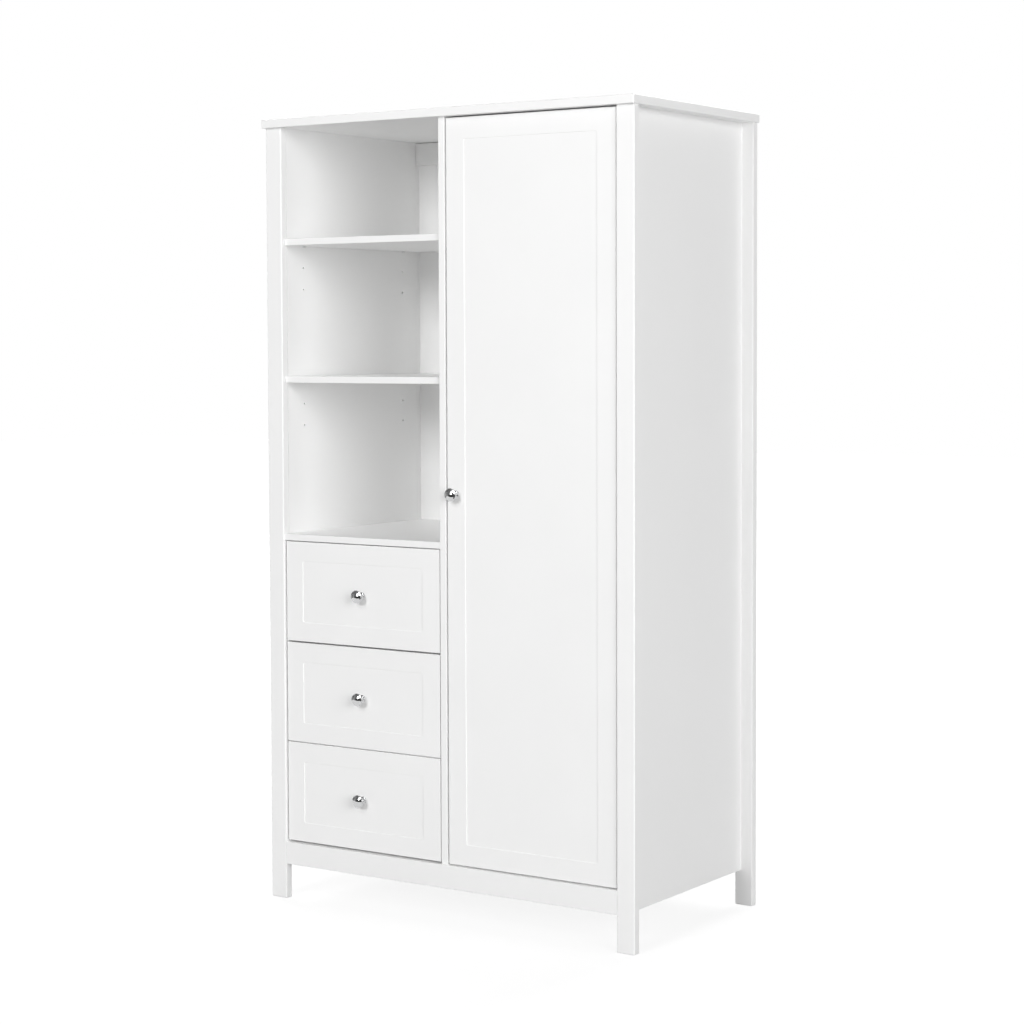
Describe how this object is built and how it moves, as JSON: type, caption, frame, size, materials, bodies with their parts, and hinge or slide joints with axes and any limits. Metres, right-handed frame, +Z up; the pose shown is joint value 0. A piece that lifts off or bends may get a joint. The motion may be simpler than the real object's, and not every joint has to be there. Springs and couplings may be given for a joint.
{
  "type": "chifforobe",
  "caption": "White painted chifforobe: open shelves over panelled drawers on the left, a tall hinged door with a clothes rail behind it on the right, chrome knobs and post feet.",
  "frame": {"origin": "on the floor, under the middle of the whole piece with its knobs", "axes": "+X to the right seen from the front, +Y to the back, +Z up"},
  "size_m": [0.996, 0.562, 1.8],
  "materials": {
    "white_paint": "satin paint",
    "back_board": "matt paint",
    "drawer_board": "smooth foil",
    "knob_chrome": "polished",
    "rail_chrome": "polished",
    "slide_steel": "powder coat",
    "hinge_steel": "nickel plate",
    "pin_steel": "zinc plate",
    "screw_steel": "zinc plate",
    "dowel_wood": "bare beech"
  },
  "bodies": {
    "carcase": {"top_panel": "white_paint", "post_front_left": "white_paint", "post_front_right": "white_paint", "post_rear_left": "white_paint", "post_rear_right": "white_paint", "side_panel_left": "white_paint", "side_panel_right": "white_paint", "divider_panel": "white_paint", "bottom_panel": "white_paint", "front_bottom_rail": "white_paint", "rear_bottom_rail": "white_paint", "rear_top_rail_left": "white_paint", "rear_top_rail_right": "white_paint", "back_panel_left": "back_board", "back_panel_right": "back_board", "deck_shelf": "white_paint", "upper_shelf": "white_paint", "lower_shelf": "white_paint", "shelf_pins": "pin_steel", "hanging_rail": "rail_chrome", "hanging_rail_sockets": "rail_chrome", "socket_screws": "screw_steel", "slide_channels": "slide_steel", "slide_screws": "screw_steel", "hinge_plates": "hinge_steel", "hinge_arms": "hinge_steel", "hinge_plate_screws": "screw_steel", "back_panel_nails": "screw_steel", "dowels": "dowel_wood"},
    "door": {"door_panel": "white_paint", "door_knob": "knob_chrome", "door_knob_screw": "screw_steel", "hinge_cups": "hinge_steel", "hinge_cup_screws": "screw_steel"},
    "drawer_1": {"drawer_1_front": "white_paint", "drawer_1_side_left": "drawer_board", "drawer_1_side_right": "drawer_board", "drawer_1_back": "drawer_board", "drawer_1_bottom": "drawer_board", "drawer_1_knob": "knob_chrome", "drawer_1_knob_screw": "screw_steel", "drawer_1_slide_rails": "slide_steel"},
    "drawer_2": {"drawer_2_front": "white_paint", "drawer_2_side_left": "drawer_board", "drawer_2_side_right": "drawer_board", "drawer_2_back": "drawer_board", "drawer_2_bottom": "drawer_board", "drawer_2_knob": "knob_chrome", "drawer_2_knob_screw": "screw_steel", "drawer_2_slide_rails": "slide_steel"},
    "drawer_3": {"drawer_3_front": "white_paint", "drawer_3_side_left": "drawer_board", "drawer_3_side_right": "drawer_board", "drawer_3_back": "drawer_board", "drawer_3_bottom": "drawer_board", "drawer_3_knob": "knob_chrome", "drawer_3_knob_screw": "screw_steel", "drawer_3_slide_rails": "slide_steel"}
  },
  "joints": [
    {"name": "door_hinge", "type": "hinge", "parent": "carcase", "child": "door", "pos_m": [0.436, -0.2455, 0.957], "axis": [0, 0, 1], "range_deg": [0, 100]},
    {"name": "drawer_1_slide", "type": "slide", "parent": "carcase", "child": "drawer_1", "axis": [0, -1, 0], "range_m": [0, 0.33]},
    {"name": "drawer_2_slide", "type": "slide", "parent": "carcase", "child": "drawer_2", "axis": [0, -1, 0], "range_m": [0, 0.33]},
    {"name": "drawer_3_slide", "type": "slide", "parent": "carcase", "child": "drawer_3", "axis": [0, -1, 0], "range_m": [0, 0.33]}
  ]
}
